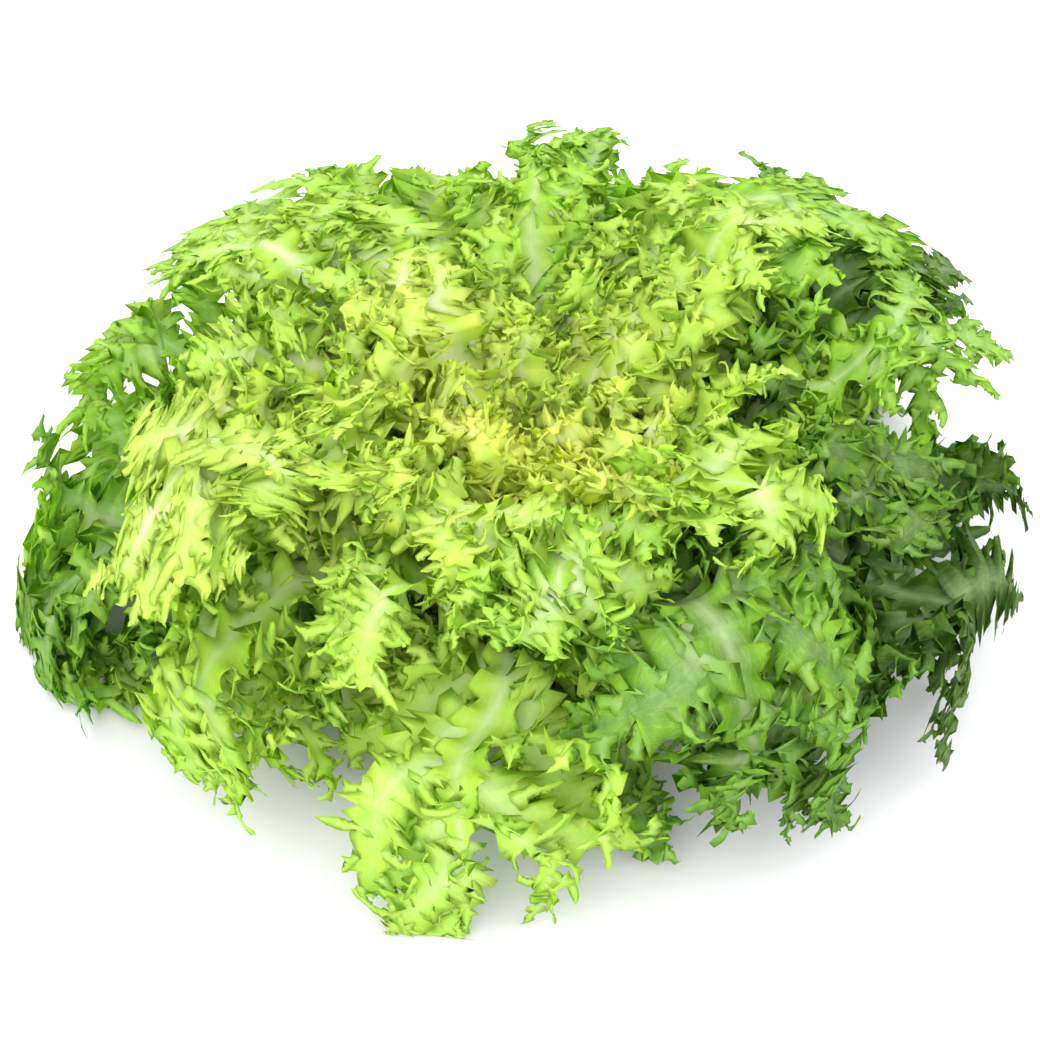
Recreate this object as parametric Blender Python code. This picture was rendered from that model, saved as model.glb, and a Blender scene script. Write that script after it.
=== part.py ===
"""Curly endive head: a cut stem base and the rosette of leaves that grows from it.

Run with: blender --background --python part.py
Metres, +Z up. The origin is the middle of the flat cut face that the head stands on, and the
head's front is towards -Y. Every leaf is one closed pad that follows the leaf's own arch, from
its foot on the stem base to its tip, so the pads nest in each other as the real leaves do.
"""
import math
import random

import bpy

# Driving dimensions
LEAF_COUNT = 56
GOLDEN_ANGLE = math.radians(137.508)
FIRST_AZIMUTH = math.radians(200.0)
CUT_RADIUS = 0.0175
STEM_RADIUS = 0.0200
STEM_SHOULDER = 0.0100
STEM_DOME = 0.0280
FOOT_GAP = 0.0006
PETIOLE_THICKNESS = 0.0026
BLADE_THICKNESS = 0.0036
FOOT_HALF_ANGLE = math.radians(12.5)
WIDEST_HALF_ANGLE = math.radians(23.0)
AZIMUTH_JITTER = math.radians(2.5)
LENGTH_JITTER = 0.05
SEED = 11

# The head reaches further behind its stem than in front of it, as a share of its radius
REACH_REAR = 0.11
REACH_RIGHT = 0.01
FULL_REACH_RADIUS = 0.15

# The crown that the leaf tips form: age (0 the heart, 1 the oldest leaf), radius, height and
# the tip's direction in degrees from straight up
CROWN = (
    (0.00, 0.008, 0.062, 18.0),
    (0.12, 0.024, 0.077, 26.0),
    (0.25, 0.048, 0.091, 42.0),
    (0.40, 0.084, 0.103, 66.0),
    (0.55, 0.117, 0.103, 92.0),
    (0.70, 0.141, 0.082, 110.0),
    (0.85, 0.155, 0.045, 116.0),
    (1.00, 0.161, 0.003, 100.0),
)

# A leaf's outline: place along its length, and half width as a share of the widest
OUTLINE = (
    (0.00, 0.55),
    (0.10, 0.42),
    (0.22, 0.34),
    (0.34, 0.42),
    (0.46, 0.66),
    (0.57, 0.80),
    (0.67, 1.00),
    (0.77, 0.90),
    (0.86, 0.97),
    (0.94, 0.62),
    (1.00, 0.16),
)
SECTION_STEPS = 4

# Age groups from the inside out: name, the age where it ends, colour and roughness
GROUPS = (
    ("heart_leaf", 0.20, (0.60, 0.66, 0.07), 0.46),
    ("inner_leaf", 0.46, (0.42, 0.60, 0.07), 0.44),
    ("middle_leaf", 0.76, (0.26, 0.47, 0.06), 0.42),
    ("outer_leaf", 1.01, (0.12, 0.30, 0.05), 0.42),
)
STEM_COLOUR = (0.74, 0.70, 0.48)


def clear_scene():
    for item in list(bpy.data.objects):
        bpy.data.objects.remove(item, do_unlink=True)


def plain_material(name, colour, roughness):
    material = bpy.data.materials.new(name)
    material.use_nodes = True
    shader = material.node_tree.nodes["Principled BSDF"]
    shader.inputs["Base Color"].default_value = (*colour, 1.0)
    shader.inputs["Roughness"].default_value = roughness
    shader.inputs["Metallic"].default_value = 0.0
    return material


def closed_object(name, vertices, faces, material, smooth_angle):
    mesh = bpy.data.meshes.new(name)
    mesh.from_pydata(vertices, [], faces)
    mesh.update()
    mesh.shade_smooth()
    mesh.set_sharp_from_angle(angle=smooth_angle)
    mesh.materials.append(material)
    item = bpy.data.objects.new(name, mesh)
    bpy.context.scene.collection.objects.link(item)
    return item


def smooth_step(value):
    value = min(max(value, 0.0), 1.0)
    return value * value * (3.0 - 2.0 * value)


def table_value(table, place, column):
    """Reads a column between the rows of a table, with smooth slopes at the rows."""
    rows = len(table)
    last = next((i for i in range(1, rows) if place <= table[i][0]), rows - 1)
    first = last - 1

    def slope(row):
        low, high = max(row - 1, 0), min(row + 1, rows - 1)
        return (table[high][column] - table[low][column]) / (table[high][0] - table[low][0])

    span = table[last][0] - table[first][0]
    u = (place - table[first][0]) / span
    start, end = table[first][column], table[last][column]
    return (
        start * (1.0 + 2.0 * u) * (1.0 - u) ** 2
        + slope(first) * span * u * (1.0 - u) ** 2
        + end * u * u * (3.0 - 2.0 * u)
        - slope(last) * span * u * u * (1.0 - u)
    )


def foot(age):
    """Where a leaf of this age leaves the stem dome: radius, height and direction."""
    turn = math.radians(11.0 + 74.0 * age**0.9)
    radius = STEM_RADIUS * math.sin(turn)
    height = STEM_SHOULDER + STEM_DOME * math.cos(turn)
    normal = math.atan2(math.sin(turn) / STEM_RADIUS, math.cos(turn) / STEM_DOME)
    return radius, height, 0.82 * normal


def arch(age, place):
    """A point on the arch that leaves of this age follow, and the arch's direction there."""
    foot_radius, foot_height, foot_direction = foot(age)
    tip_radius = table_value(CROWN, age, 1)
    tip_height = table_value(CROWN, age, 2)
    tip_direction = math.radians(table_value(CROWN, age, 3))
    pull = 1.15 * math.hypot(tip_radius - foot_radius, tip_height - foot_height)
    u = place
    weights = (
        (1.0 + 2.0 * u) * (1.0 - u) ** 2,
        u * (1.0 - u) ** 2 * pull,
        u * u * (3.0 - 2.0 * u),
        -u * u * (1.0 - u) * pull,
    )
    slopes = (
        6.0 * u * (u - 1.0),
        (1.0 - u) * (1.0 - 3.0 * u) * pull,
        6.0 * u * (1.0 - u),
        u * (3.0 * u - 2.0) * pull,
    )
    radii = (foot_radius, math.sin(foot_direction), tip_radius, math.sin(tip_direction))
    heights = (foot_height, math.cos(foot_direction), tip_height, math.cos(tip_direction))
    radius = sum(w * r for w, r in zip(weights, radii))
    height = sum(w * h for w, h in zip(weights, heights))
    outward = sum(s * r for s, r in zip(slopes, radii))
    upward = sum(s * h for s, h in zip(slopes, heights))
    return radius, height, math.atan2(outward, upward)


def reach(radius, azimuth):
    """Moves a point out or in, because the stem is not quite in the middle of the head."""
    extra = REACH_REAR * math.sin(azimuth) + REACH_RIGHT * math.cos(azimuth)
    return radius * (1.0 + smooth_step(radius / FULL_REACH_RADIUS) * extra)


def leaf_half_width(age):
    """The widest half width, in metres along the circle round the stem."""
    return 0.010 + 0.046 * smooth_step(age / 0.75)


def leaf(name, age, azimuth, length, material):
    """One leaf as a closed pad with a lens section, bent along its arch and round the stem."""
    sections = []
    for place, share in OUTLINE:
        radius, height, direction = arch(age, place * length)
        room = smooth_step((place - 0.05) / 0.30)
        limit = FOOT_HALF_ANGLE + (WIDEST_HALF_ANGLE - FOOT_HALF_ANGLE) * room
        half_angle = min(share * leaf_half_width(age) / radius, min(share * 1.3, 1.0) * limit)
        blend = smooth_step((place - 0.2) / 0.3)
        thickness = PETIOLE_THICKNESS + (BLADE_THICKNESS - PETIOLE_THICKNESS) * blend
        inward = (-math.cos(direction), math.sin(direction))
        ring = []
        for step in range(2 * SECTION_STEPS):
            turn = math.pi * step / SECTION_STEPS
            side = math.cos(turn)
            rise = 0.5 * thickness * math.sin(turn)
            around = azimuth + half_angle * side
            out = reach(radius + rise * inward[0], around)
            up = max(height + rise * inward[1], 0.0)
            ring.append((out * math.cos(around), out * math.sin(around), up))
        sections.append(ring)

    count = 2 * SECTION_STEPS
    vertices = [point for ring in sections for point in ring]
    faces = []
    for row in range(len(sections) - 1):
        for step in range(count):
            following = (step + 1) % count
            a, b = row * count + step, row * count + following
            faces.append((a, b, b + count, a + count))
    faces.append(tuple(reversed(range(count))))
    faces.append(tuple(range(len(vertices) - count, len(vertices))))
    return closed_object(name, vertices, faces, material, math.radians(60.0))


def stem_base(material):
    """The solid stump: a flat cut face, a short bulging side and a dome under the leaf feet."""
    profile = [(CUT_RADIUS - 0.0008, 0.0), (CUT_RADIUS, 0.0008)]
    side_steps = 4
    for step in range(1, side_steps):
        share = step / side_steps
        bulge = math.sin(0.5 * math.pi * share)
        radius = CUT_RADIUS + (STEM_RADIUS - FOOT_GAP - CUT_RADIUS) * bulge
        profile.append((radius, STEM_SHOULDER * share))
    dome_steps = 9
    for step in range(dome_steps):
        turn = 0.5 * math.pi * (1.0 - step / dome_steps)
        radius = (STEM_RADIUS - FOOT_GAP) * math.sin(turn)
        height = STEM_SHOULDER + (STEM_DOME - FOOT_GAP) * math.cos(turn)
        profile.append((radius, height))

    around = 32
    vertices = []
    for radius, height in profile:
        for step in range(around):
            turn = 2.0 * math.pi * step / around
            vertices.append((radius * math.cos(turn), radius * math.sin(turn), height))
    vertices.append((0.0, 0.0, STEM_SHOULDER + STEM_DOME - FOOT_GAP))
    faces = [tuple(reversed(range(around)))]
    for row in range(len(profile) - 1):
        for step in range(around):
            following = (step + 1) % around
            a, b = row * around + step, row * around + following
            faces.append((a, b, b + around, a + around))
    top = len(vertices) - 1
    last = (len(profile) - 1) * around
    for step in range(around):
        faces.append((last + step, last + (step + 1) % around, top))
    return closed_object("stem_base", vertices, faces, material, math.radians(40.0))


def build():
    clear_scene()
    chance = random.Random(SEED)
    stem_base(plain_material("cut_stem", STEM_COLOUR, 0.55))
    materials = {name: plain_material(name, colour, rough) for name, _, colour, rough in GROUPS}
    numbers = {name: 0 for name in materials}
    for index in range(LEAF_COUNT):
        age = index / (LEAF_COUNT - 1)
        group = next(name for name, end, _, _ in GROUPS if age < end)
        numbers[group] += 1
        azimuth = FIRST_AZIMUTH + index * GOLDEN_ANGLE
        azimuth += chance.uniform(-AZIMUTH_JITTER, AZIMUTH_JITTER)
        length = 1.0 - chance.uniform(0.0, 2.0 * LENGTH_JITTER)
        leaf(f"{group}_{numbers[group]:02d}", age, azimuth, length, materials[group])


build()
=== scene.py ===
"""Looks of the curly endive head: one frilled, toothed leaf for each leaf pad of the frame.

A leaf is drawn flat first, as closed ribbons: one for its rib with the jagged blade, one for each
lobe at its sides and one for each finger of a lobe. Each ribbon curls, bends and twists along its
own midline and has pointed teeth and a frill at its edges. The flat leaf is then bent onto the
arch that its pad follows, and kept within the head's rim and dome and above the floor.
"""
import math
import random

import bpy
import numpy as np
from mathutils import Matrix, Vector


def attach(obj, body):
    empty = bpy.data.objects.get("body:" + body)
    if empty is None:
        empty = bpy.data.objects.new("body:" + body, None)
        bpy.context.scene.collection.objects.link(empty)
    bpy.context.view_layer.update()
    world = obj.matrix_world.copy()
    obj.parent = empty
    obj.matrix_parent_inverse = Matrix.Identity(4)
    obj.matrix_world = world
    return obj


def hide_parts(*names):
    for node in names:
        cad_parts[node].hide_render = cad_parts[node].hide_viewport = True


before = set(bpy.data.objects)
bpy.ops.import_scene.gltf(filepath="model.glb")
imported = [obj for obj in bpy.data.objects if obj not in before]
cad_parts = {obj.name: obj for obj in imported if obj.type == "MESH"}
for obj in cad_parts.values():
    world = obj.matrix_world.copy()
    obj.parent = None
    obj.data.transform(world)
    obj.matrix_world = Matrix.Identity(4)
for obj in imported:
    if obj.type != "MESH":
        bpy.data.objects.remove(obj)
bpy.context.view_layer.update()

# The rosette, as the frame has it (metres and radians): leaves by age, from 0 at the heart to 1 at
# the rim
LEAF_COUNT = 56
GOLDEN_ANGLE = math.radians(137.508)
FIRST_AZIMUTH = math.radians(200.0)
STEM_RADIUS = 0.0200
STEM_SHOULDER = 0.0100
STEM_DOME = 0.0280
AZIMUTH_JITTER = math.radians(2.5)
LENGTH_JITTER = 0.05
SEED = 11

# The head reaches a little further to the rear and to the right
REACH_REAR = 0.11
REACH_RIGHT = 0.01
FULL_REACH_RADIUS = 0.15

# Where the leaves' tips lie: age, radius, height and direction in degrees from straight up
CROWN = (
    (0.00, 0.008, 0.062, 18.0),
    (0.12, 0.024, 0.077, 26.0),
    (0.25, 0.048, 0.091, 42.0),
    (0.40, 0.084, 0.103, 66.0),
    (0.55, 0.117, 0.103, 92.0),
    (0.70, 0.141, 0.082, 110.0),
    (0.85, 0.155, 0.045, 116.0),
    (1.00, 0.161, 0.003, 100.0),
)
GROUPS = (("heart_leaf", 0.20), ("inner_leaf", 0.46), ("middle_leaf", 0.76), ("outer_leaf", 1.01))

# The leaves' mesh: step along the blade, rows from a ribbon's midline (0) to its edge (1), and
# how thick the sheets are
BLADE_STEP = 0.0021
BLADE_ROWS = (0.0, 0.22, 0.50, 0.78, 1.0)
LOBE_ROWS = (0.0, 0.50, 1.0)
FINGER_ROWS = (0.0, 1.0)
FINGER_SECTIONS = 9
SHEET_THICK = 0.00055
SHEET_THIN = 0.00030

# Sizes that grow with the leaf: metres on the smallest leaf, and metres more per metre of leaf
RIB_WIDTH = (0.0012, 0.040)
BLADE_WIDTH = (0.0025, 0.050)
LOBE_WIDTH = (0.0018, 0.022)
LOBE_LENGTH = (0.0050, 0.220)
FINGER_LENGTH = (0.0040, 0.076)

# Numbers of pairs of lobes, of steps along a lobe and of fingers on a lobe, on a small and on a
# large leaf
LOBE_PAIRS = (5.0, 9.0)
LOBE_STEPS = (6.0, 14.0)
FINGERS_PER_LOBE = (4.0, 10.0)

# How far lobes and fingers stray from their rule, in degrees either way
LOBE_STRAY = {"heading": 30.0, "roll": 40.0, "bend": 100.0, "twist": 80.0}
FINGER_STRAY = {"pitch": 42.0, "roll": 55.0, "curl": 120.0, "bend": 115.0, "twist": 45.0}
FINGER_SPLAY = (36.0, 98.0)

# Outlines: places along the part, then the share of its greatest half width there
RIB_OUTLINE = ((0.0, 0.15, 0.45, 0.70, 1.0), (1.0, 0.80, 0.55, 0.28, 0.06))
BLADE_OUTLINE = ((0.0, 0.16, 0.34, 0.60, 0.85, 1.0), (0.0, 0.10, 0.75, 1.00, 0.80, 0.03))
LOBE_OUTLINE = ((0.0, 0.12, 0.35, 0.60, 0.85, 1.0), (1.4, 1.0, 0.9, 0.85, 0.5, 0.03))
FINGER_OUTLINE = ((0.0, 0.25, 0.6, 0.85, 1.0), (1.9, 1.05, 0.85, 0.55, 0.03))

# Along the leaf: the lobes' angle to the rib in degrees and their lengths. Along a lobe: the
# lengths of its fingers
LOBE_HEADINGS = ((0.2, 0.5, 0.8, 1.0), (78.0, 66.0, 46.0, 22.0))
LOBE_LENGTHS = ((0.2, 0.35, 0.60, 0.80, 1.0), (0.35, 0.75, 1.0, 1.0, 0.80))
FINGER_LENGTHS = ((0.0, 0.3, 0.7, 1.0), (0.8, 1.05, 0.95, 0.6))

# A leaf's gentle waves, its droop past the tip and its least bend round the stem
WANDER = 0.028
DROOP = 26.0
DROOP_END = math.radians(165.0)
LEAST_BEND_RADIUS = 0.022

# Where the leaves stay: above the floor, within the rim and under the dome
FLOOR_CLEARANCE = 0.0004
SQUASH_HEIGHT = 0.0045
RIM_RADIUS = 0.1700
RIM_REAR = 0.0125
RIM_ROOM = 0.022
CEILING_PLACES = (0.0, 0.35, 0.60, 0.70, 0.80, 0.90, 1.0)
CEILING_HEIGHTS = (0.092, 0.098, 0.094, 0.084, 0.070, 0.054, 0.034)
CEILING_CORNER = 0.014
CEILING_ROOM = 0.020

# The stump's mesh, its leaf scars and the relief of its cut face
CUT_RADIUS = 0.0175
CUT_CENTRE = 0.0015
CUT_BEVEL = 0.0008
STEM_GAP = 0.0006
STEM_SIDES = 96
CUT_STEPS = 14
SIDE_STEPS = 10
DOME_STEPS = 22
SCAR_START = 87.0
SCAR_DEPTH = 0.035
CUT_RELIEF = 0.0004

# Leaves that lie a little off their spiral place, by leaf number: turn in degrees, length and
# how far the tip droops
PLACED = {
    10: (4.0, 1.45, 0.0), 19: (0.0, 1.12, 0.0), 22: (0.0, 0.92, 0.0), 24: (-4.0, 1.14, 0.0),
    25: (4.0, 1.06, -0.004), 27: (0.0, 1.08, 0.0), 28: (-3.0, 1.02, 0.0),
    30: (6.0, 1.25, 0.01), 32: (0.0, 1.04, 0.004), 33: (-13.0, 1.16, 0.0),
    34: (12.0, 1.08, 0.006), 35: (5.0, 1.1, 0.012), 36: (6.0, 1.0, 0.004),
    38: (4.0, 1.08, -0.004), 39: (2.0, 1.0, 0.016), 40: (-3.0, 1.36, 0.014),
    41: (4.0, 1.0, -0.004), 42: (12.0, 1.2, 0.018), 43: (-16.0, 1.2, 0.02),
    44: (0.0, 1.06, -0.014), 45: (-2.0, 1.36, 0.008), 46: (-6.0, 1.22, -0.012),
    47: (9.0, 1.16, 0.018), 48: (-8.0, 1.19, 0.0), 50: (-3.0, 0.86, 0.0),
    51: (-7.0, 1.02, 0.0), 52: (21.0, 1.14, 0.0), 53: (-5.0, 0.82, 0.0),
    54: (-20.0, 1.0, 0.0), 55: (-5.0, 0.92, 0.0),
}

# Leaves whose blades lie open, by leaf number: rib width and blade width
OPEN_LEAVES = {
    10: (2.4, 2.6), 18: (1.5, 2.2), 20: (2.2, 1.8), 21: (1.6, 2.6), 23: (1.9, 2.0),
    26: (1.2, 2.8), 31: (1.7, 2.0), 32: (0.8, 1.3), 34: (1.6, 2.2),
}
OPEN_BARE = 0.44
# How pale the open leaves' ribs are: partly their own whiteness, partly painted light in the shade
# where they lie
OPEN_MILKY_AND_LIT = 1.7

# The leaf whose front hangs furthest out over the floor has a thin rib between frilled lobes
DRAPE_LEAF = 45
DRAPE_RIB = 0.5
DRAPE_BROAD = 0.8
DRAPE_WIDTH = 1.25

# Camera, aimed at the middle of the head
CAMERA_TARGET = (0.0, 0.0, 0.032)
CAMERA_ELEVATION = math.radians(40.0)
CAMERA_DISTANCE = 0.9
CAMERA_LENS = 95.5


def smooth_step(value):
    """Rises smoothly from 0 to 1 as the value does."""
    value = np.clip(value, 0.0, 1.0)
    return value * value * (3.0 - 2.0 * value)


def mix(start, end, share):
    return start + (end - start) * share


def table_value(table, place, column):
    """Reads a column between the rows of a table, with smooth slopes at the rows."""
    rows = len(table)
    last = next((i for i in range(1, rows) if place <= table[i][0]), rows - 1)
    first = last - 1

    def slope(row):
        low, high = max(row - 1, 0), min(row + 1, rows - 1)
        return (table[high][column] - table[low][column]) / (table[high][0] - table[low][0])

    span = table[last][0] - table[first][0]
    u = (place - table[first][0]) / span
    start, end = table[first][column], table[last][column]
    return (
        start * (1.0 + 2.0 * u) * (1.0 - u) ** 2
        + slope(first) * span * u * (1.0 - u) ** 2
        + end * u * u * (3.0 - 2.0 * u)
        - slope(last) * span * u * u * (1.0 - u)
    )


def foot(age):
    """Where a leaf of this age leaves the stem dome: radius, height and direction."""
    turn = math.radians(11.0 + 74.0 * age**0.9)
    radius = STEM_RADIUS * math.sin(turn)
    height = STEM_SHOULDER + STEM_DOME * math.cos(turn)
    normal = math.atan2(math.sin(turn) / STEM_RADIUS, math.cos(turn) / STEM_DOME)
    return radius, height, 0.82 * normal


def arch(age, u, tip_lift, tip_turn):
    """The leaf's midline from its foot to its tip: radii and heights at the places u."""
    foot_radius, foot_height, foot_direction = foot(age)
    tip_radius = table_value(CROWN, age, 1)
    tip_height = table_value(CROWN, age, 2) + tip_lift
    tip_direction = math.radians(table_value(CROWN, age, 3)) + tip_turn
    pull = 1.15 * math.hypot(tip_radius - foot_radius, tip_height - foot_height)
    weights = (
        (1.0 + 2.0 * u) * (1.0 - u) ** 2,
        u * (1.0 - u) ** 2 * pull,
        u * u * (3.0 - 2.0 * u),
        -u * u * (1.0 - u) * pull,
    )
    radii = (foot_radius, math.sin(foot_direction), tip_radius, math.sin(tip_direction))
    heights = (foot_height, math.cos(foot_direction), tip_height, math.cos(tip_direction))
    radius = sum(w * r for w, r in zip(weights, radii))
    height = sum(w * h for w, h in zip(weights, heights))
    return radius, height


class Leaf:
    """Everything that sets one leaf apart.

    tip_lift, tip_turn and sway raise, turn and swing aside the tip of its arch, and waves are the
    phases of its gentle waves. stretch, width, broad, rib and lobe_width scale its length, the
    length of its lobes, its blade, its rib and the width of its lobes. bare is where its lobes
    begin, hang lets them curl down in degrees, ruffle scales its frills and curls, milky its pale
    rib (on the open leaves partly painted light), and green is its place between the heart's
    yellow (0) and the rim's dark green (1), with painted shade on the right and painted light at
    the front added to it.
    """

    def __init__(self, index, node, age, azimuth, length):
        self.rng = np.random.default_rng(1000 + index)
        self.node = node
        self.age = age
        self.azimuth = azimuth
        self.length = length
        self.tip_lift = 0.0
        self.tip_turn = 0.0
        self.sway = 0.0
        self.width = 1.0
        self.ruffle = 1.0
        self.hang = 0.0
        self.stretch = 1.0
        self.waves = np.zeros(4)
        self.rib = 1.0
        self.bare = 0.24
        self.milky = 1.0
        self.broad = 1.0
        self.lobe_width = 1.0
        self.green = 0.0

    def midline(self):
        """Arc length, radius, height and direction along the rib, run on drooping past the tip."""
        u = np.linspace(0.0, self.length, 81)
        radius, height = arch(self.age, u, self.tip_lift, self.tip_turn)
        extra = REACH_REAR * math.sin(self.azimuth) + REACH_RIGHT * math.cos(self.azimuth)
        radius = radius * (1.0 + smooth_step(radius / FULL_REACH_RADIUS) * extra)
        step = np.hypot(np.diff(radius), np.diff(height))
        arc = np.concatenate(([0.0], np.cumsum(step)))
        direction = np.arctan2(np.gradient(radius, arc), np.gradient(height, arc))
        total = arc[-1]
        past = np.linspace(0.0, 0.6 * total, 31)[1:]
        turn = np.minimum(direction[-1] + DROOP * self.age * past, DROOP_END)
        turn = np.maximum(turn, direction[-1])
        radius = np.append(radius, radius[-1] + np.cumsum(np.sin(turn)) * past[0])
        height = np.append(height, height[-1] + np.cumsum(np.cos(turn)) * past[0])
        return total, np.append(arc, total + past), radius, height, np.append(direction, turn)


def place_on_arch(leaf, across, along, rise):
    """Bends flat leaf coordinates onto the leaf's arch and round the stem."""
    total, arc, radii, heights, directions = leaf.midline()

    # Gentle waves of the whole leaf, sideways and up
    place = np.clip(along / total, 0.0, 1.3)
    strength = total * smooth_step((place - 0.15) / 0.5)
    across = across + WANDER * strength * (
        np.sin(7.0 * place + leaf.waves[0]) + 0.5 * np.sin(13.0 * place + leaf.waves[1]))
    rise = rise + WANDER * strength * (
        np.sin(9.0 * place + leaf.waves[2]) + 0.5 * np.sin(17.0 * place + leaf.waves[3]))

    # Onto the arch, bent round the stem
    radius = np.interp(along, arc, radii)
    height = np.interp(along, arc, heights)
    direction = np.interp(along, arc, directions)
    bend_radius = np.maximum(radius, LEAST_BEND_RADIUS)
    turn = across / bend_radius
    outward = -np.cos(direction) * rise
    out = radius + bend_radius * (np.cos(turn) - 1.0) + outward * np.cos(turn)
    side = bend_radius * np.sin(turn) + outward * np.sin(turn)
    up = height + np.sin(direction) * rise
    share = np.clip(along / total, 0.0, 1.2)
    azimuth = leaf.azimuth + leaf.sway * share * share
    x = out * np.cos(azimuth) - side * np.sin(azimuth)
    y = out * np.sin(azimuth) + side * np.cos(azimuth)

    # Inside the rim
    away = np.maximum(np.hypot(x, y), 1e-6)
    edge = RIM_RADIUS + RIM_REAR * y / away
    beyond = np.maximum(away - edge + RIM_ROOM, 0.0)
    held = edge - RIM_ROOM + RIM_ROOM * (1.0 - np.exp(-beyond / RIM_ROOM))
    shrink = np.where(beyond > 0.0, held / away, 1.0)
    x, y = x * shrink, y * shrink

    # Under the dome, which is a little higher at the rear right
    out_share = away * shrink / edge
    ceiling = np.interp(out_share, CEILING_PLACES, CEILING_HEIGHTS)
    corner = np.maximum(x + y, 0.0) / (away * shrink)
    ceiling = ceiling + CEILING_CORNER * corner * smooth_step((out_share - 0.6) / 0.4)
    high = np.maximum(up - ceiling, 0.0)
    up = np.where(high > 0.0, ceiling + CEILING_ROOM * (1.0 - np.exp(-high / CEILING_ROOM)), up)

    # Above the floor
    low = np.minimum(up, SQUASH_HEIGHT)
    squashed = FLOOR_CLEARANCE + (SQUASH_HEIGHT - FLOOR_CLEARANCE) * np.exp(
        (low - SQUASH_HEIGHT) / (SQUASH_HEIGHT - FLOOR_CLEARANCE)
    )
    up = np.where(up < SQUASH_HEIGHT, squashed, up)
    return np.stack((x, y, up), -1)


def turned(first, second, angle):
    """Turns a pair of square directions towards each other by an angle."""
    cosine, sine = np.cos(angle)[..., None], np.sin(angle)[..., None]
    return first * cosine + second * sine, second * cosine - first * sine


def sweep(start, frame_axes, length, sections, curl, bend, twist):
    """Carries a frame (ahead, side, normal) along each ribbon's midline.

    curl, bend and twist are the whole turns up, sideways and round itself, in radians. The curl
    grows towards the ribbon's tip.
    """
    ahead, side, normal = frame_axes
    step = length / (sections - 1)
    place = start
    path = []
    for number in range(sections):
        path.append((place, ahead, side, normal))
        ahead, normal = turned(ahead, normal, curl * (2.0 * number + 1.0) / sections**2)
        ahead, side = turned(ahead, side, bend / sections)
        side, normal = turned(side, normal, twist / sections)
        place = place + step[:, None] * ahead
    return [np.stack(part, 1) for part in zip(*path)]


def ribbon_rings(rng, path, half_width, rows, look):
    """Rings of points round each ribbon: left edge, upper face, right edge, lower face.

    look holds the teeth's size, how many of the places for them are filled (dense), what they are
    measured by (width) and their forward slant, the frill's height and its period in sections,
    the sheet's thickness, and the rib's half width and depth.
    """
    centre, ahead, side, normal = path
    ribbons, sections = half_width.shape
    sides = []
    for sign in (-1.0, 1.0):
        point = np.arange(sections) % 2 == 1
        point = point & (rng.random((ribbons, sections)) < look["dense"])
        size = rng.uniform(0.3, 1.0, (ribbons, sections))
        tooth = np.where(point, size * look["tooth"], -0.10 * look["tooth"])
        slant = np.where(point, (0.4 + size) * look["slant"], 0.0)
        begin = rng.uniform(0.0, 1.0, (ribbons, 1))
        pace = rng.uniform(0.75, 1.3, (ribbons, 1)) / look["period"]
        wave = np.sin(2.0 * np.pi * (begin + pace * np.arange(sections)))
        jolt = rng.uniform(-0.22, 0.22, (ribbons, sections))
        frill = look["frill"] * (wave + jolt)
        sides.append((sign, half_width + tooth * look["width"], slant, frill))

    def row_points(which, q, offset):
        sign, width, slant, frill = sides[which]
        out = sign * width * q
        return (
            centre
            + side * out[..., None]
            + ahead * (slant * q * q * look["width"])[..., None]
            + normal * (frill * q**1.7 + offset)[..., None]
        )

    def offsets(which, q):
        width = sides[which][1]
        rib = look["depth"] * (1.0 - smooth_step(width * q / look["rib"]))
        sheet = look["sheet"] * (1.0 - 0.5 * q)
        return 0.35 * sheet - 0.12 * rib, -0.65 * sheet - 0.88 * rib

    upper = [(0, q) for q in rows[-2:0:-1]] + [(0, 0.0)] + [(1, q) for q in rows[1:-1]]
    ring = [row_points(0, 1.0, 0.0)]
    ring += [row_points(which, q, offsets(which, q)[0]) for which, q in upper]
    ring += [row_points(1, 1.0, 0.0)]
    ring += [row_points(which, q, offsets(which, q)[1]) for which, q in reversed(upper)]
    across = [-1.0] + [q if which else -q for which, q in upper]
    across = np.array(across + [1.0] + across[:0:-1])
    return np.stack(ring, 2), across


def ring_faces(ribbons, sections, ring, first):
    """The faces between the rings of closed ribbons, with one face over each open end."""
    index = first + np.arange(ribbons * sections * ring).reshape(ribbons, sections, ring)
    after = np.roll(index, -1, axis=2)
    quads = np.stack((index[:, :-1], index[:, 1:], after[:, 1:], after[:, :-1]), -1)
    ends = np.concatenate((index[:, 0], index[:, -1, ::-1]))
    return quads.reshape(-1, 4).tolist() + ends.tolist()


def random_turns(rng, degrees, count):
    """Random angles in radians, up to so many degrees either way."""
    return np.radians(rng.uniform(-degrees, degrees, count))


def grown(sizes, total):
    """A size that grows with the leaf's length."""
    return sizes[0] + sizes[1] * total


def frames_from(ahead, normal):
    """Square frames (ahead, side, normal) from directions ahead and rough normals."""
    side = np.cross(ahead, normal)
    side /= np.linalg.norm(side, axis=-1, keepdims=True)
    return ahead, side, np.cross(side, ahead)


def rib_half_width(total, share):
    return grown(RIB_WIDTH, total) * np.interp(share, *RIB_OUTLINE)


def blade_half_width(leaf, total, share):
    return leaf.broad * grown(BLADE_WIDTH, total) * np.interp(share, *BLADE_OUTLINE)


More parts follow.
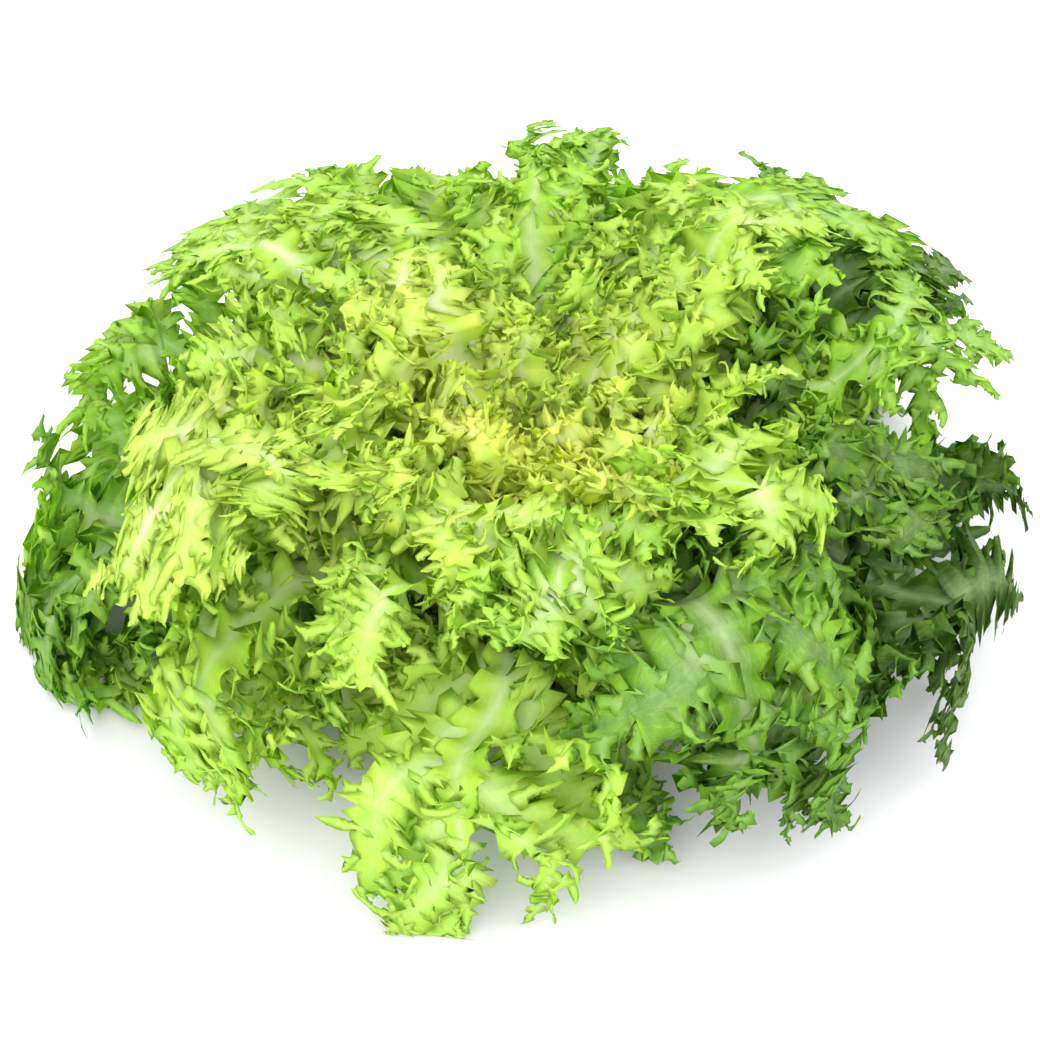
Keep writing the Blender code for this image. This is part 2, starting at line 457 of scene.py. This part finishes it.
def blade_ribbon(leaf, total):
    """The rib with the jagged blade on both its sides, from the foot to the tip."""
    sections = 2 * int(0.5 * total / BLADE_STEP) + 2
    share = np.linspace(0.0, 1.0, sections)
    zero = np.zeros(1)
    axes = frames_from(np.array([[0.0, 1.0, 0.0]]), np.array([[0.0, 0.0, 1.0]]))
    path = sweep(np.zeros((1, 3)), axes, np.array([total]), sections, zero, zero, zero)
    rib = leaf.rib * rib_half_width(total, share)
    open_blade = smooth_step((share - 0.16) / 0.16)
    blade = blade_half_width(leaf, total, share)
    half_width = np.maximum(blade, 1.05 * rib)
    half_width[-1] = 0.0002
    look = {
        "tooth": 1.0,
        "dense": 0.6,
        "width": (0.50 * blade * open_blade)[None],
        "slant": 0.35,
        "frill": (leaf.ruffle * 0.45 * blade * open_blade)[None],
        "period": 7.0,
        "sheet": SHEET_THICK,
        "rib": np.maximum(rib, 0.0004)[None],
        "depth": (0.0005 + 0.30 * rib)[None],
    }
    rings, across = ribbon_rings(leaf.rng, path, half_width[None], BLADE_ROWS, look)
    distance = np.abs(across)[None] * half_width[:, None]
    pale = np.exp(-((distance / (1.25 * rib[:, None] + 0.0004)) ** 2))
    pale = leaf.milky * pale * mix(1.0, 0.45, share)[:, None]
    place = share[:, None] * np.ones(len(across))
    return rings, pale[None], place[None], np.abs(across)


def lobe_ribbons(leaf, total, size):
    """The lobes along both sides of the rib, each a toothed, curling ribbon."""
    rng = leaf.rng
    pairs = int(round(mix(*LOBE_PAIRS, size)))
    count = 2 * pairs
    along = np.tile(np.linspace(leaf.bare, 0.96, pairs), 2)
    along = along + rng.uniform(-0.5, 0.5, count) * 0.7 / pairs
    along = np.clip(along, 0.2, 0.99)
    sign = np.repeat((-1.0, 1.0), pairs)
    heading = np.radians(np.interp(along, *LOBE_HEADINGS))
    heading = heading + random_turns(rng, LOBE_STRAY["heading"], count)
    length = leaf.width * grown(LOBE_LENGTH, total) * np.interp(along, *LOBE_LENGTHS)
    length = length * rng.uniform(0.75, 1.15, count)

    # Neighbours rise and fall by turns, so that they overlap like tiles
    swing = np.where(np.arange(count) % 2 == 0, 1.0, -1.0)
    ruffle = leaf.ruffle * mix(0.75, 1.5, smooth_step((along - 0.3) / 0.6))
    pitch = ruffle * np.radians(swing * rng.uniform(2.0, 26.0, count))
    roll = ruffle * random_turns(rng, LOBE_STRAY["roll"], count)
    flat = np.cos(pitch)
    ahead = np.stack((sign * np.sin(heading) * flat, np.cos(heading) * flat, np.sin(pitch)), -1)
    ahead, side, normal = frames_from(ahead, np.array([[0.0, 0.0, 1.0]]))
    side, normal = turned(side, normal, roll)
    start = np.zeros((count, 3))
    start[:, 0] = sign * 0.55 * blade_half_width(leaf, total, along)
    start[:, 1] = along * total
    start[:, 2] = -0.0010
    sections = 2 * int(round(mix(*LOBE_STEPS, size))) + 1

    # The curl takes back the pitch, and may go further down than up
    curl = -1.3 * pitch + ruffle * np.radians(rng.uniform(-100.0, 90.0 - leaf.hang, count))
    bend = random_turns(rng, LOBE_STRAY["bend"], count)
    twist = ruffle * random_turns(rng, LOBE_STRAY["twist"], count)
    path = sweep(start, (ahead, side, normal), length, sections, curl, bend, twist)
    share = np.linspace(0.0, 1.0, sections)
    half = grown(LOBE_WIDTH, total) * rng.uniform(0.75, 1.25, count) * leaf.lobe_width
    shape = np.interp(share, *LOBE_OUTLINE)
    half_width = half[:, None] * shape[None]
    look = {
        "tooth": 0.80,
        "dense": 0.70,
        "width": half[:, None] * np.minimum(shape, 1.0)[None] * smooth_step(share / 0.1)[None],
        "slant": 0.30,
        "frill": leaf.ruffle * 0.60 * half_width * smooth_step(share / 0.15)[None],
        "period": 6.5,
        "sheet": SHEET_THIN,
        "rib": 0.35 * half[:, None],
        "depth": 0.0009 * (0.3 + size) * (1.0 - share)[None],
    }
    rings, across = ribbon_rings(rng, path, half_width, LOBE_ROWS, look)
    centre_line = np.exp(-((np.abs(across) / 0.42) ** 2))
    pale = np.exp(-share * 2.6)[:, None] * centre_line[None] * np.ones((count, 1, 1))
    pale = 0.80 * leaf.milky * pale
    place = (along[:, None] + 0.15 * share[None])[..., None] * np.ones(len(across))
    return rings, pale, place, np.abs(across), path, half, along


def finger_ribbons(leaf, total, size, lobes):
    """Short toothed ribbons along both sides of each lobe."""
    rng = leaf.rng
    (centre, ahead, side, normal), half, along = lobes
    count, sections = centre.shape[:2]
    each = int(round(mix(*FINGERS_PER_LOBE, size)))
    spread = np.linspace(0.14, 0.90, each)
    at = np.clip(np.round(spread * (sections - 1)).astype(int), 1, sections - 2)
    share = np.tile(at / (sections - 1), count)
    order = np.arange(each)[None] + np.arange(count)[:, None]
    sign = np.where(order % 2 == 0, 1.0, -1.0).ravel()
    number = count * each

    def pick(part):
        return part[:, at].reshape(number, 3)

    base, forward, sideways, up = pick(centre), pick(ahead), pick(side), pick(normal)
    splay = np.radians(rng.uniform(*FINGER_SPLAY, number)) * mix(1.1, 0.65, share)
    direction = forward * np.cos(splay)[:, None] + sideways * (sign * np.sin(splay))[:, None]
    axes = list(frames_from(direction, up))
    pitch = leaf.ruffle * random_turns(rng, FINGER_STRAY["pitch"], number)
    axes[0], axes[2] = turned(axes[0], axes[2], pitch)
    roll = leaf.ruffle * random_turns(rng, FINGER_STRAY["roll"], number)
    axes[1], axes[2] = turned(axes[1], axes[2], roll)
    half_lobe = np.repeat(half, each)
    start = base + sideways * (sign * 0.35 * half_lobe)[:, None]
    length = grown(FINGER_LENGTH, total) * rng.uniform(0.6, 1.2, number)
    length = length * np.interp(share, *FINGER_LENGTHS)
    curl = leaf.ruffle * random_turns(rng, FINGER_STRAY["curl"], number)
    bend = random_turns(rng, FINGER_STRAY["bend"], number)
    twist = leaf.ruffle * random_turns(rng, FINGER_STRAY["twist"], number)
    path = sweep(start, axes, length, FINGER_SECTIONS, curl, bend, twist)
    step = np.linspace(0.0, 1.0, FINGER_SECTIONS)
    shape = np.interp(step, *FINGER_OUTLINE)
    own = half_lobe * rng.uniform(0.20, 0.34, number)
    half_width = own[:, None] * shape[None]
    look = {
        "tooth": 1.1,
        "dense": 0.35,
        "width": own[:, None] * np.minimum(shape, 1.0)[None] * smooth_step(step / 0.2)[None],
        "slant": 0.4,
        "frill": leaf.ruffle * 0.35 * half_width * smooth_step(step / 0.3)[None],
        "period": 6.0,
        "sheet": 0.8 * SHEET_THIN,
        "rib": 0.5 * own[:, None],
        "depth": 0.0002,
    }
    rings, across = ribbon_rings(rng, path, half_width, FINGER_ROWS, look)
    pale = 0.25 * (1.0 - step)[:, None] * (1.0 - np.abs(across))[None] * np.ones((number, 1, 1))
    lobe_along = np.repeat(along, each)
    place = (lobe_along[:, None] + 0.12 * share[:, None] + 0.06 * step[None])[..., None]
    return rings, pale, place * np.ones(len(across)), 0.6 + 0.4 * np.abs(across)


def add_object(name, points, faces, look, grain, material):
    """A smooth mesh with the point attributes look and grain, which its material reads."""
    mesh = bpy.data.meshes.new(name)
    mesh.from_pydata(points.tolist(), [], faces)
    mesh.update()
    mesh.shade_smooth()
    layer = mesh.attributes.new("look", "FLOAT_COLOR", "POINT")
    layer.data.foreach_set("color", look.astype(np.float32).ravel())
    layer = mesh.attributes.new("grain", "FLOAT_VECTOR", "POINT")
    layer.data.foreach_set("vector", grain.astype(np.float32).ravel())
    mesh.materials.append(material)
    piece = bpy.data.objects.new(name, mesh)
    bpy.context.scene.collection.objects.link(piece)
    return piece


def leaf_piece(leaf, material):
    """A whole leaf: its ribbons as one mesh, bent onto its arch."""
    total = leaf.midline()[0] * leaf.stretch
    size = smooth_step((total - 0.03) / 0.11)
    blade = blade_ribbon(leaf, total)
    *lobes, path, half, along = lobe_ribbons(leaf, total, size)
    fingers = finger_ribbons(leaf, total, size, (path, half, along))
    points, faces, looks, grains = [], [], [], []
    first = 0
    for rings, pale, place, edge in (blade, lobes, fingers):
        ribbons, sections, ring = rings.shape[:3]
        points.append(rings.reshape(-1, 3))
        faces += ring_faces(ribbons, sections, ring, first)
        first += ribbons * sections * ring
        ones = np.ones((ribbons, sections, ring))

        # The look: how green and how pale. A leaf is greener towards its tip, and its edges are
        # lighter, the more so the greener it is
        lighter = 0.06 + 0.55 * max(leaf.green - 0.40, 0.0)
        green = leaf.green + 0.18 * (place * ones - 0.6) - lighter * (edge - 0.35)
        looks.append(np.stack((green, pale * ones, 0.0 * ones, ones), -1).reshape(-1, 4))

        # The grain: millimetres out from one edge and along the ribbon, with a seed for each ribbon
        seed = leaf.rng.uniform(0.0, 10.0, (ribbons, 1, 1)) * ones
        run = 1000.0 * np.linalg.norm(np.diff(rings, axis=1, prepend=rings[:, :1]), axis=3)
        run = np.cumsum(run.mean(2), 1)[..., None] * ones
        out = 1000.0 * np.linalg.norm(rings - rings[:, :, ring // 4 :][:, :, :1], axis=3)
        grains.append(np.stack((out + 40.0 * seed, run, seed), -1).reshape(-1, 3))
    flat = np.concatenate(points)
    placed = place_on_arch(leaf, flat[:, 0], flat[:, 1], flat[:, 2])
    look, grain = np.concatenate(looks), np.concatenate(grains)
    piece = add_object(leaf.node + "_blade", placed, faces, look, grain, material)
    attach(piece, "root")
    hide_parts(leaf.node)


def stem_piece(material):
    """The stump: a cut face with its rings, leaf scars up its side and a domed top."""
    turn = np.linspace(0.0, math.radians(SCAR_START), DOME_STEPS)
    ring = np.linspace(CUT_CENTRE, CUT_RADIUS - CUT_BEVEL, CUT_STEPS)
    rise = np.linspace(0.0, 1.0, SIDE_STEPS)
    top = STEM_RADIUS - STEM_GAP
    radius = np.concatenate((ring, CUT_RADIUS + (top - CUT_RADIUS) * np.sin(0.5 * np.pi * rise),
                             top * np.cos(turn[1:])))
    height = np.concatenate((0.0 * ring, CUT_BEVEL + (STEM_SHOULDER - CUT_BEVEL) * rise,
                             STEM_SHOULDER + (STEM_DOME - STEM_GAP) * np.sin(turn[1:])))
    cut = np.concatenate((np.ones(CUT_STEPS), np.zeros(len(radius) - CUT_STEPS)))[:, None]
    around = -np.linspace(0.0, 2.0 * np.pi, STEM_SIDES, endpoint=False)[None]
    climb = height[:, None] / STEM_DOME
    scars = np.cos(8.0 * around + 9.0 * climb) * np.cos(5.0 * around - 9.0 * climb)
    out = radius[:, None] * (1.0 + SCAR_DEPTH * scars * (1.0 - cut))
    up = height[:, None] + CUT_RELIEF * cut * (1.0 - cut * ring_wave(radius, around))
    place = np.stack((out * np.cos(around), out * np.sin(around), up), -1)
    place = place.reshape(-1, 3)
    faces = ring_faces(1, len(radius), STEM_SIDES, 0)

    # The look: whether it is the cut face, how far out on it, and how deep in a scar
    ones = np.ones_like(out)
    rim = radius[:, None] / CUT_RADIUS * ones
    look = np.stack((cut * ones, rim, 0.5 + 0.5 * scars, ones), -1)
    piece = add_object("stem_base_stump", place, faces, look, 1000.0 * place, material)
    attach(piece, "root")
    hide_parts("stem_base")


def ring_wave(radius, around):
    """Rings and a little saw unevenness of the cut face, between 0 and 1."""
    rings = np.sin(radius[:, None] * 2400.0) * 0.25
    return 0.5 + rings + 0.25 * np.sin(3.0 * around + 200.0 * radius[:, None])


class Nodes:
    """Adds and links the shader nodes of a new material."""

    def __init__(self, name):
        self.material = bpy.data.materials.new(name)
        self.material.use_nodes = True
        self.tree = self.material.node_tree
        self.shader = self.tree.nodes["Principled BSDF"]
        self.link = self.tree.links.new
        look = self.add("ShaderNodeAttribute", attribute_name="look")
        split = self.add("ShaderNodeSeparateColor")
        self.link(look.outputs["Color"], split.inputs["Color"])
        self.look = split.outputs
        grain = self.add("ShaderNodeAttribute", attribute_name="grain")
        self.grain = grain.outputs["Vector"]

    def add(self, kind, **settings):
        node = self.tree.nodes.new(kind)
        for key, value in settings.items():
            setattr(node, key, value)
        return node

    def put(self, socket, value):
        """Sets a socket to a number, to a colour or to another node's output."""
        if isinstance(value, float):
            socket.default_value = value
        elif isinstance(value, tuple):
            socket.default_value = (*value, 1.0)
        else:
            self.link(value, socket)

    def ramp(self, value, stops):
        node = self.add("ShaderNodeValToRGB")
        elements = node.color_ramp.elements
        while len(elements) > 1:
            elements.remove(elements[-1])
        elements[0].position = stops[0][0]
        elements[0].color = (*stops[0][1], 1.0)
        for position, colour in stops[1:]:
            elements.new(position).color = (*colour, 1.0)
        self.link(value, node.inputs["Fac"])
        return node.outputs["Color"]

    def blend(self, factor, first, second, kind="MIX"):
        node = self.add("ShaderNodeMix", data_type="RGBA", blend_type=kind)
        self.put(node.inputs["Factor"], factor)
        self.put(node.inputs[6], first)
        self.put(node.inputs[7], second)
        return node.outputs[2]

    def compute(self, operation, *values):
        node = self.add("ShaderNodeMath", operation=operation)
        for socket, value in zip(node.inputs, values):
            self.put(socket, value)
        return node.outputs[0]

    def noise(self, vector, scale, detail, dimensions="3D"):
        texture = self.add("ShaderNodeTexNoise", noise_dimensions=dimensions)
        texture.inputs["Scale"].default_value = scale
        texture.inputs["Detail"].default_value = detail
        self.link(vector, texture.inputs["Vector"])
        return texture.outputs["Fac"]

    def bump(self, height, strength, distance):
        node = self.add("ShaderNodeBump")
        node.inputs["Strength"].default_value = strength
        node.inputs["Distance"].default_value = distance
        self.link(height, node.inputs["Height"])
        self.link(node.outputs["Normal"], self.shader.inputs["Normal"])
        return node.outputs["Normal"]


def leaf_material(name):
    """Living leaf: mottled green sheet that light shines through, with paler ribs and veins."""
    nodes = Nodes(name)
    shader = nodes.shader

    mottle = nodes.noise(nodes.grain, 0.12, 2.0, "2D")
    uneven = nodes.compute("MULTIPLY", nodes.compute("SUBTRACT", mottle, 0.5), 0.34)
    green = nodes.compute("ADD", nodes.look["Red"], uneven)
    blade = nodes.ramp(green, (
        (0.00, (0.82, 0.90, 0.15)),
        (0.22, (0.62, 0.83, 0.09)),
        (0.45, (0.45, 0.76, 0.05)),
        (0.70, (0.22, 0.50, 0.022)),
        (1.00, (0.075, 0.19, 0.012)),
    ))
    rib = nodes.ramp(green, (
        (0.00, (0.95, 0.96, 0.68)),
        (0.50, (0.88, 0.94, 0.62)),
        (1.00, (0.56, 0.74, 0.36)),
    ))

    # Streaks run along each ribbon: they break up the pale ribs and draw the fine veins
    mapping = nodes.add("ShaderNodeMapping")
    mapping.inputs["Scale"].default_value = (0.60, 0.10, 1.0)
    nodes.link(nodes.grain, mapping.inputs["Vector"])
    streaks = nodes.noise(mapping.outputs["Vector"], 1.0, 1.0, "2D")
    strength = nodes.compute("ADD", nodes.compute("MULTIPLY", streaks, 0.9), 0.55)
    pale = nodes.compute("MULTIPLY", nodes.look["Green"], strength)
    colour = nodes.blend(pale, blade, rib)
    vein = nodes.add("ShaderNodeMapRange")
    vein.inputs["From Max"].default_value = 0.045
    vein.inputs["To Min"].default_value = 0.16
    vein.inputs["To Max"].default_value = 0.0
    from_line = nodes.compute("ABSOLUTE", nodes.compute("SUBTRACT", streaks, 0.5))
    nodes.link(from_line, vein.inputs["Value"])
    colour = nodes.blend(vein.outputs["Result"], colour, rib)
    nodes.link(colour, shader.inputs["Base Color"])

    normal = nodes.bump(mottle, 0.35, 0.0006)
    shader.inputs["Specular IOR Level"].default_value = 0.22
    rough = nodes.compute("ADD", nodes.compute("MULTIPLY", mottle, 0.25), 0.30)
    nodes.link(rough, shader.inputs["Roughness"])

    through = nodes.add("ShaderNodeBsdfTranslucent")
    tint = nodes.blend(1.0, colour, (1.0, 1.0, 0.62), "MULTIPLY")
    nodes.link(tint, through.inputs["Color"])
    nodes.link(normal, through.inputs["Normal"])
    sheet = nodes.add("ShaderNodeMixShader")
    sheet.inputs["Fac"].default_value = 0.55
    nodes.link(shader.outputs["BSDF"], sheet.inputs[1])
    nodes.link(through.outputs["BSDF"], sheet.inputs[2])
    surface = nodes.tree.nodes["Material Output"].inputs["Surface"]
    nodes.link(sheet.outputs["Shader"], surface)
    return nodes.material


def stem_material():
    """Pale stump flesh: a cut face that browns towards its rim, and a creamy, streaked side."""
    nodes = Nodes("cut_stem")
    noise = nodes.noise(nodes.grain, 0.35, 5.0)
    face = nodes.ramp(nodes.compute("MULTIPLY_ADD", noise, 0.5, nodes.look["Green"]), (
        (0.20, (0.78, 0.76, 0.52)),
        (0.75, (0.70, 0.66, 0.40)),
        (0.98, (0.55, 0.44, 0.22)),
        (1.00, (0.36, 0.24, 0.11)),
    ))
    bundles = nodes.add("ShaderNodeTexVoronoi")
    bundles.inputs["Scale"].default_value = 0.65
    nodes.link(nodes.grain, bundles.inputs["Vector"])
    dots = nodes.ramp(bundles.outputs["Distance"], (
        (0.10, (0.62, 0.52, 0.30)),
        (0.32, (1.0, 1.0, 1.0)),
    ))
    dotted = nodes.blend(0.6, face, dots, "MULTIPLY")
    side = nodes.ramp(nodes.look["Blue"], ((0.0, (0.62, 0.60, 0.34)), (1.0, (0.84, 0.86, 0.62))))
    streaked = nodes.blend(noise, side, (0.80, 0.82, 0.60), "MULTIPLY")
    whole = nodes.blend(nodes.look["Red"], streaked, dotted)
    nodes.link(whole, nodes.shader.inputs["Base Color"])
    nodes.bump(noise, 0.4, 0.0005)
    nodes.shader.inputs["Roughness"].default_value = 0.55
    return nodes.material


def set_shape(leaf, index):
    """A leaf's lift, turn, waves, width and lobes, from its age and its own random numbers."""
    age, rng = leaf.age, leaf.rng
    leaf.tip_lift = rng.uniform(-0.006, 0.006) * smooth_step(age / 0.3)
    leaf.tip_turn = math.radians(rng.uniform(-22.0, 22.0))
    leaf.sway = math.radians(rng.uniform(-15.0, 15.0)) * smooth_step(age / 0.3)
    leaf.waves = rng.uniform(0.0, 2.0 * math.pi, 4)
    leaf.tip_lift += 0.010 * (1.0 - smooth_step((age - 0.05) / 0.25))
    leaf.hang = 30.0 * smooth_step((age - 0.25) / 0.25)
    leaf.width = mix(1.12, 1.02, smooth_step((age - 0.05) / 0.45))
    leaf.width += 0.40 * smooth_step((age - 0.60) / 0.20)
    inner = smooth_step((age - 0.10) / 0.12) * (1.0 - smooth_step((age - 0.45) / 0.2))
    leaf.width += 0.22 * inner
    leaf.lobe_width = mix(2.1, 1.75, smooth_step(age / 0.4))
    leaf.stretch = mix(1.0, 0.95, smooth_step((age - 0.10) / 0.25))
    leaf.ruffle = 1.0 + 0.15 * smooth_step((age - 0.25) / 0.15)
    leaf.broad = mix(2.7, 1.3, smooth_step((age - 0.25) / 0.35))
    leaf.milky = 1.4 - 0.4 * smooth_step((age - 0.10) / 0.20)
    if index in OPEN_LEAVES:
        leaf.rib, leaf.broad = OPEN_LEAVES[index]
        leaf.bare = OPEN_BARE
        leaf.milky = OPEN_MILKY_AND_LIT
    if index == DRAPE_LEAF:
        leaf.rib, leaf.broad = DRAPE_RIB, DRAPE_BROAD
        leaf.width *= DRAPE_WIDTH
    if index in PLACED:
        turn, stretch, droop = PLACED[index]
        leaf.tip_lift -= droop
        leaf.stretch *= stretch
        leaf.sway = math.radians(turn)


def set_green(leaf):
    """How green a leaf is: the older the greener, darker on the right than on the left (partly its
    own colour, partly painted shade), and lighter at the front with painted light.
    """
    age, azimuth = leaf.age, leaf.azimuth
    leaf.green = 0.05 + 0.25 * smooth_step((age - 0.15) / 0.4) + 0.06 * age
    # Darker on the right: partly the leaves' own darker green, partly painted shade on the side
    # away from the key light
    right = (0.5 + 0.5 * math.cos(azimuth + math.radians(10.0))) ** 2.5
    leaf.green += 0.70 * right * smooth_step((age - 0.42) / 0.30)
    left = max(0.0, math.cos(azimuth - math.radians(180.0))) ** 4
    leaf.green += 0.38 * left * smooth_step((age - 0.60) / 0.25)
    # Painted light: the older leaves at the front left are lighter and yellower, to lift the shade
    # among them
    front_left_painted_light = max(0.0, math.cos(azimuth - math.radians(232.0))) ** 2
    leaf.green -= 0.20 * front_left_painted_light * smooth_step((age - 0.40) / 0.30)
    # Young leaves are greener at the rear, their own colour. At the front of the heart they are
    # yellower and lighter, partly the heart's own yellow and partly painted light on the shaded
    # slope below it
    back = math.sin(azimuth)
    young = 1.0 - smooth_step((age - 0.40) / 0.20)
    leaf.green += (0.06 if back > 0.0 else 0.15) * back * young
    leaf.green += leaf.rng.uniform(-1.0, 1.0) * mix(0.04, 0.07, smooth_step((age - 0.2) / 0.3))


def all_leaves():
    chance = random.Random(SEED)
    numbers = {name: 0 for name, _ in GROUPS}
    leaves = []
    for index in range(LEAF_COUNT):
        age = index / (LEAF_COUNT - 1)
        group = next(name for name, end in GROUPS if age < end)
        numbers[group] += 1
        azimuth = FIRST_AZIMUTH + index * GOLDEN_ANGLE
        azimuth += chance.uniform(-AZIMUTH_JITTER, AZIMUTH_JITTER)
        length = 1.0 - chance.uniform(0.0, 2.0 * LENGTH_JITTER)
        leaf = Leaf(index, f"{group}_{numbers[group]:02d}", age, azimuth, length)
        set_shape(leaf, index)
        set_green(leaf)
        leaves.append(leaf)
    return leaves


def stage():
    """A plain pale floor."""
    floor_mesh = bpy.data.meshes.new("floor")
    size = 3.0
    floor_mesh.from_pydata([(-size, -size, 0), (size, -size, 0), (size, size, 0), (-size, size, 0)],
                           [], [(0, 1, 2, 3)])
    floor = bpy.data.objects.new("floor", floor_mesh)
    bpy.context.scene.collection.objects.link(floor)
    white = bpy.data.materials.new("floor_white")
    white.use_nodes = True
    shader = white.node_tree.nodes["Principled BSDF"]
    shader.inputs["Base Color"].default_value = (0.74, 0.745, 0.76, 1.0)
    shader.inputs["Roughness"].default_value = 0.7
    floor_mesh.materials.append(white)


def area_light(name, place, target, size, power):
    data = bpy.data.lights.new(name, "AREA")
    data.size = size
    data.energy = power
    lamp = bpy.data.objects.new(name, data)
    lamp.location = place
    direction = Vector(target) - Vector(place)
    lamp.rotation_euler = direction.to_track_quat("-Z", "Y").to_euler()
    bpy.context.scene.collection.objects.link(lamp)


def lights():
    """Plain soft studio light, mostly from the front and above."""
    area_light("key", (-0.7, -0.55, 1.25), (0.0, 0.0, 0.05), 0.7, 2.0)
    area_light("front", (-0.25, -1.15, 0.85), (0.0, 0.0, 0.04), 1.0, 8.0)
    area_light("fill", (0.9, -0.7, 0.8), (0.0, 0.0, 0.05), 1.2, 3.0)
    area_light("back", (0.1, 1.1, 1.0), (0.0, 0.0, 0.05), 1.0, 1.5)
    world = bpy.data.worlds.new("studio")
    bpy.context.scene.world = world
    world.use_nodes = True
    world.node_tree.nodes["Background"].inputs["Color"].default_value = (1.0, 1.0, 1.0, 1.0)
    world.node_tree.nodes["Background"].inputs["Strength"].default_value = 2.0


def camera():
    data = bpy.data.cameras.new("camera")
    view = bpy.data.objects.new("camera", data)
    target = Vector(CAMERA_TARGET)
    back, up = math.cos(CAMERA_ELEVATION), math.sin(CAMERA_ELEVATION)
    view.location = target + CAMERA_DISTANCE * Vector((0.0, -back, up))
    view.rotation_euler = (target - view.location).to_track_quat("-Z", "Y").to_euler()
    data.lens = CAMERA_LENS
    data.sensor_width = 36.0
    data.clip_start = 0.01
    bpy.context.scene.collection.objects.link(view)
    bpy.context.scene.camera = view
    # Plain colours, a little lighter in the middle tones
    bpy.context.scene.view_settings.view_transform = "Standard"
    bpy.context.scene.view_settings.gamma = 1.08


materials = {name: leaf_material(name) for name, _ in GROUPS}
for leaf in all_leaves():
    leaf_piece(leaf, materials[leaf.node.rsplit("_", 1)[0]])
stem_piece(stem_material())
stage()
lights()
camera()
